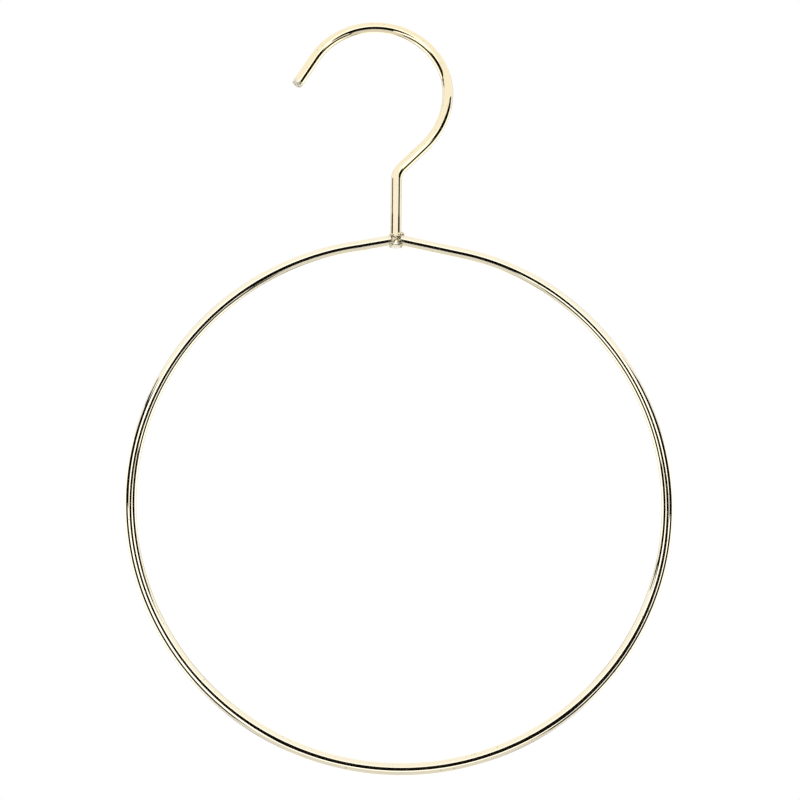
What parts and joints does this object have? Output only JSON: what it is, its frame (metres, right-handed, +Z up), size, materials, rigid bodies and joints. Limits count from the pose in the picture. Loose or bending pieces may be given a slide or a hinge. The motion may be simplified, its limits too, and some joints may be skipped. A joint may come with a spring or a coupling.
{
  "type": "wreath frame",
  "caption": "Round wire wreath hoop that hangs from an open hook on a short straight stem, polished pale gold.",
  "frame": {"origin": "inside of the hook's crown, where a rail or a nail carries the frame", "axes": "+Z up along the stem as the frame hangs, +X across the hoop away from the hook's tip, -Y out of the hoop's face"},
  "size_m": [0.2, 0.0054, 0.2935],
  "materials": {
    "plated_wire": "polished pale gold electroplate on drawn steel wire",
    "plated_weld": "pale gold electroplate over a lumpy weld bead"
  },
  "bodies": {
    "root": {"hook_wire": "plated_wire", "hoop_wire": "plated_wire", "weld_left": "plated_weld", "weld_right": "plated_weld"}
  },
  "joints": []
}
